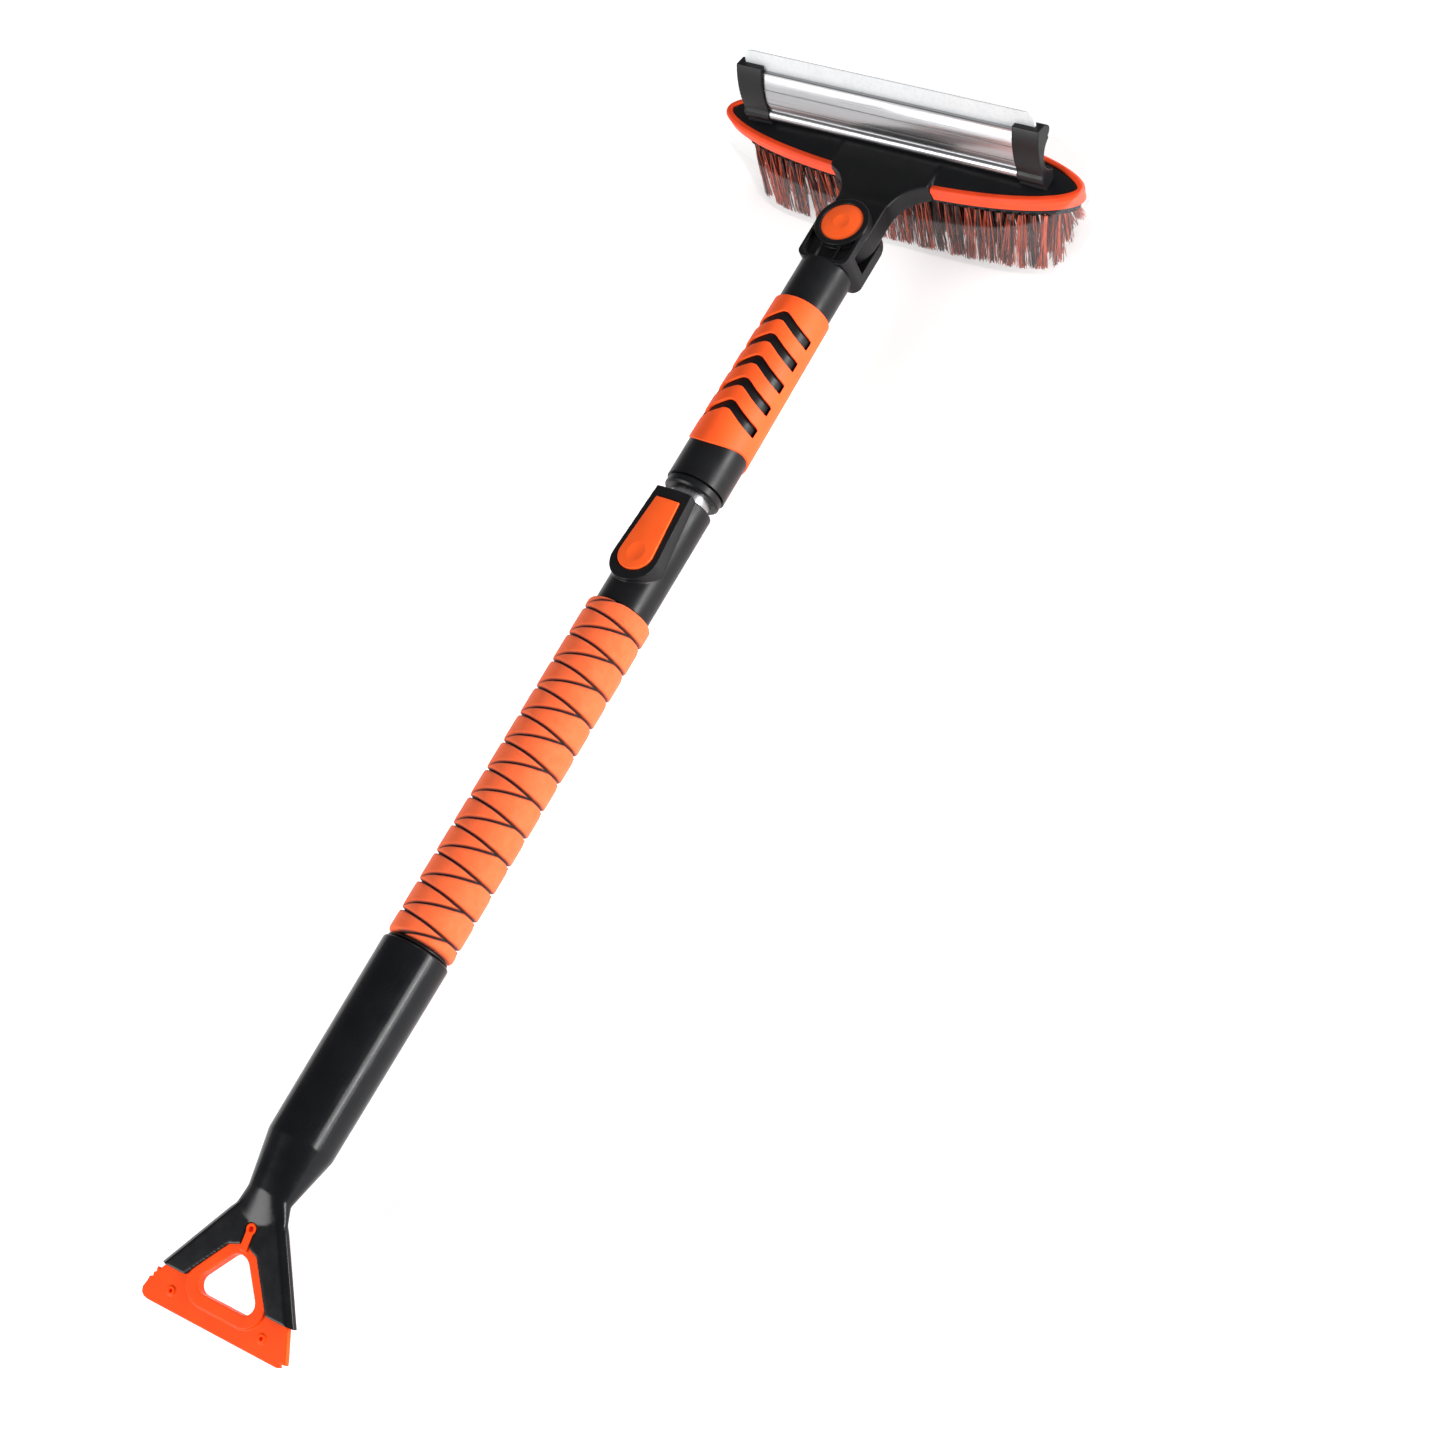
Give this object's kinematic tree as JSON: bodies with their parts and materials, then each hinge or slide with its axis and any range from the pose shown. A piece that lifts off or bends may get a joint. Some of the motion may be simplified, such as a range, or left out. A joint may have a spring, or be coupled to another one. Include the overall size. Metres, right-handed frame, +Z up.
{
  "type": "snow brush scraper",
  "caption": "Telescopic snow brush with a swivelling brush head, rubber squeegee, bristle cover, foam grip and pull-off ice scraper handle.",
  "frame": {"origin": "under the middle of the whole tool, at the level of the flat floor of the bristle cover", "axes": "+X along the pole towards the brush head, +Y to the left of the tool looking towards the head, +Z up, away from the bristles"},
  "size_m": [0.9011, 0.2782, 0.117],
  "materials": {
    "black_plastic": "satin moulded, fine texture",
    "black_gloss": "glossy moulded, soft highlights",
    "black_tube": "black anodised, satin",
    "bare_aluminium": "drawn and bright anodised",
    "orange_plastic": "satin moulded",
    "orange_rubber": "soft-touch matte",
    "orange_foam": "closed-cell foam skin, matte",
    "orange_blade": "hard polycarbonate, satin gloss",
    "bristle_fibre": "nylon filament, orange and black mixed",
    "clear_silicone": "translucent silicone",
    "clear_film": "thin clear vacuum-formed sheet",
    "steel": "zinc plated"
  },
  "bodies": {
    "pole": {"outer_tube": "black_tube", "foam_grip": "orange_foam", "lower_connector": "black_plastic", "lower_connector_screws": "steel", "lock_housing": "black_plastic", "tube_guide_bush": "black_plastic", "lock_pivot_pin": "steel", "lock_spring": "steel"},
    "lock_lever": {"lock_button": "orange_plastic", "lock_pin": "steel"},
    "inner_pole": {"inner_tube": "bare_aluminium", "inner_guide_plug": "black_plastic", "upper_connector": "black_plastic", "upper_connector_screws": "steel"},
    "upper_handle": {"head_tube": "black_plastic", "chevron_grip": "orange_rubber", "pivot_fork": "black_plastic", "fork_screw": "steel", "pivot_axle": "steel", "axle_retaining_clip": "steel", "pivot_spring": "steel"},
    "swivel_button": {"pivot_button": "orange_plastic", "index_gear": "black_plastic"},
    "brush_head": {"head_shell": "black_plastic", "rim_guard": "orange_rubber", "brush_block": "black_plastic", "block_screws": "steel", "bristles": "bristle_fibre", "squeegee_channel": "bare_aluminium", "squeegee_blade": "clear_silicone", "squeegee_end_cap_left": "black_plastic", "squeegee_end_cap_right": "black_plastic", "squeegee_screws": "steel"},
    "bristle_cover": {"bristle_cover": "clear_film"},
    "scraper": {"scraper_handle": "black_gloss", "scraper_blade": "orange_blade"}
  },
  "joints": [
    {"name": "pole_extension", "type": "slide", "parent": "pole", "child": "inner_pole", "axis": [1, 0, 0], "range_m": [0, 0.2]},
    {"name": "lock_press", "type": "hinge", "parent": "pole", "child": "lock_lever", "pos_m": [0.09123, 0, 0.0773], "axis": [0, -1, 0], "range_deg": [0, 4], "stiffness_Nm_per_rad": 1, "springref_deg": -4.58, "deforming": ["lock_spring"]},
    {"name": "handle_separation", "type": "slide", "parent": "inner_pole", "child": "upper_handle", "axis": [1, 0, 0], "range_m": [0, 0.07]},
    {"name": "swivel_button_press", "type": "slide", "parent": "upper_handle", "child": "swivel_button", "axis": [0, 0, -1], "range_m": [0, 0.0024], "stiffness_N_per_m": 1500, "springref_m": -0.003, "deforming": ["pivot_spring"]},
    {"name": "head_swivel", "type": "hinge", "parent": "upper_handle", "child": "brush_head", "pos_m": [0.34123, 0, 0.06], "axis": [0, 0, 1], "range_deg": [-90, 90]},
    {"name": "cover_removal", "type": "slide", "parent": "brush_head", "child": "bristle_cover", "axis": [0, 0, -1], "range_m": [0, 0.08]},
    {"name": "scraper_separation", "type": "slide", "parent": "pole", "child": "scraper", "axis": [-1, 0, 0], "range_m": [0, 0.07]}
  ]
}
